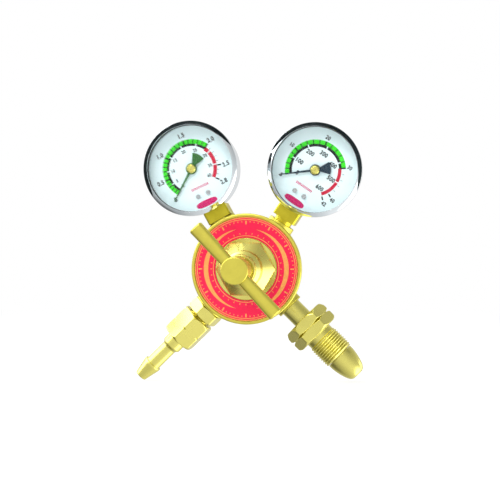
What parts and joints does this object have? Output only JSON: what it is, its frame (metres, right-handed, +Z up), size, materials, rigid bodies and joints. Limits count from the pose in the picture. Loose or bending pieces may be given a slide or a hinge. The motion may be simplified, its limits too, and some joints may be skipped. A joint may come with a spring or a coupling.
{
  "type": "gas pressure regulator",
  "caption": "Brass cylinder gas regulator with a T-screw, dial gauges, a bull-nose inlet nut and a hose-tail outlet.",
  "frame": {"origin": "centre of the tip of the inlet's bull nose, which seats in the cylinder valve", "axes": "+Z up as the regulator stands in the picture, +X to the right seen from the dials, +Y from the dials into the back of the body"},
  "size_m": [0.1564, 0.096, 0.1779],
  "materials": {
    "forged_brass": "forged and tumbled",
    "machined_brass": "bright turned",
    "bright_brass": "drawn bar, satin",
    "bronze": "satin",
    "chrome": "polished",
    "steel": "satin",
    "spring_steel": "dark satin",
    "red_enamel": "semi-gloss print",
    "rubber": "matt",
    "fibre": "matt",
    "nylon": "satin",
    "glass": "clear",
    "dial_white": "satin print",
    "pointer_black": "satin"
  },
  "bodies": {
    "regulator": {"regulator_body": "forged_brass", "label_ring": "red_enamel", "diaphragm": "rubber", "slip_ring": "machined_brass", "seat_nozzle": "machined_brass", "poppet_spring": "spring_steel", "rear_plug_gasket": "fibre", "rear_plug": "machined_brass", "bonnet": "machined_brass", "main_spring": "spring_steel", "inlet_stem": "machined_brass", "inlet_filter": "bronze", "outlet_connector": "machined_brass", "hose_tail": "machined_brass", "low_socket": "bright_brass", "low_stem_gasket": "fibre", "low_case": "chrome", "low_case_screw_left": "steel", "low_case_screw_right": "steel", "low_bezel": "chrome", "low_window_gasket": "rubber", "low_window": "glass", "low_dial": "dial_white", "low_dial_screw_left": "steel", "low_dial_screw_right": "steel", "low_movement_frame": "machined_brass", "low_bourdon_tube": "bronze", "high_socket": "bright_brass", "high_stem_gasket": "fibre", "high_case": "chrome", "high_case_screw_left": "steel", "high_case_screw_right": "steel", "high_bezel": "chrome", "high_window_gasket": "rubber", "high_window": "glass", "high_dial": "dial_white", "high_dial_screw_left": "steel", "high_dial_screw_right": "steel", "high_movement_frame": "machined_brass", "high_bourdon_tube": "bronze"},
    "spring_carrier": {"spring_button": "steel", "thrust_ball": "steel"},
    "adjuster": {"t_handle": "forged_brass", "adjusting_screw": "machined_brass"},
    "valve": {"diaphragm_plate": "steel", "push_pin": "steel", "valve_poppet": "machined_brass", "poppet_seat": "nylon"},
    "inlet_nut": {"inlet_nut": "machined_brass"},
    "outlet_nut": {"outlet_nut": "machined_brass"},
    "low_sector": {"low_sector": "machined_brass"},
    "low_pointer": {"low_pointer": "pointer_black", "low_pointer_boss": "machined_brass", "low_pinion_arbor": "machined_brass"},
    "low_link": {"low_link": "machined_brass"},
    "high_sector": {"high_sector": "machined_brass"},
    "high_pointer": {"high_pointer": "pointer_black", "high_pointer_boss": "machined_brass", "high_pinion_arbor": "machined_brass"},
    "high_link": {"high_link": "machined_brass"}
  },
  "joints": [
    {"name": "button_feed", "type": "slide", "parent": "regulator", "child": "spring_carrier", "axis": [0, 1, 0], "range_m": [0, 0.006], "deforming": ["main_spring"]},
    {"name": "adjuster_turn", "type": "hinge", "parent": "spring_carrier", "child": "adjuster", "pos_m": [-0.07405, -0.05, 0.07277], "axis": [0, 1, 0], "range_deg": [0, 1080]},
    {"name": "valve_lift", "type": "slide", "parent": "regulator", "child": "valve", "axis": [0, 1, 0], "range_m": [0, 0.001], "stiffness_N_per_m": 3160, "deforming": ["poppet_spring", "diaphragm"]},
    {"name": "inlet_nut_spin", "type": "hinge", "parent": "regulator", "child": "inlet_nut", "pos_m": [-0.03268, 0, 0.03212], "axis": [0.7132, 0, -0.7009], "continuous": true},
    {"name": "outlet_nut_spin", "type": "hinge", "parent": "regulator", "child": "outlet_nut", "pos_m": [-0.11542, -0.014, 0.03212], "axis": [-0.7132, 0, -0.7009], "continuous": true},
    {"name": "low_sector_swing", "type": "hinge", "parent": "regulator", "child": "low_sector", "pos_m": [-0.09873, -0.014, 0.13155], "axis": [0, -1, 0], "range_deg": [0, 29.2], "stiffness_Nm_per_rad": 0.1, "deforming": ["low_bourdon_tube"]},
    {"name": "low_pointer_turn", "type": "hinge", "parent": "regulator", "child": "low_pointer", "pos_m": [-0.11177, -0.014, 0.14082], "axis": [0, 1, 0], "range_deg": [0, 262.8]},
    {"name": "low_link_pivot", "type": "hinge", "parent": "low_sector", "child": "low_link", "pos_m": [-0.09452, -0.014, 0.12728], "axis": [0, -1, 0], "range_deg": [-29.2, 0]},
    {"name": "high_sector_swing", "type": "hinge", "parent": "regulator", "child": "high_sector", "pos_m": [-0.02999, 0, 0.12406], "axis": [0, -1, 0], "range_deg": [0, 29.2], "stiffness_Nm_per_rad": 0.1, "deforming": ["high_bourdon_tube"]},
    {"name": "high_pointer_turn", "type": "hinge", "parent": "regulator", "child": "high_pointer", "pos_m": [-0.0287, 0, 0.14001], "axis": [0, 1, 0], "range_deg": [0, 262.8]},
    {"name": "high_link_pivot", "type": "hinge", "parent": "high_sector", "child": "high_link", "pos_m": [-0.0315, 0, 0.11825], "axis": [0, -1, 0], "range_deg": [-29.2, 0]}
  ],
  "couplings": [
    {"joint": "button_feed", "follows": "adjuster_turn", "m_per_rad": 0.0003183},
    {"joint": "low_pointer_turn", "follows": "low_sector_swing", "ratio": 9},
    {"joint": "low_link_pivot", "follows": "low_sector_swing", "ratio": -1},
    {"joint": "high_pointer_turn", "follows": "high_sector_swing", "ratio": 9},
    {"joint": "high_link_pivot", "follows": "high_sector_swing", "ratio": -1}
  ]
}
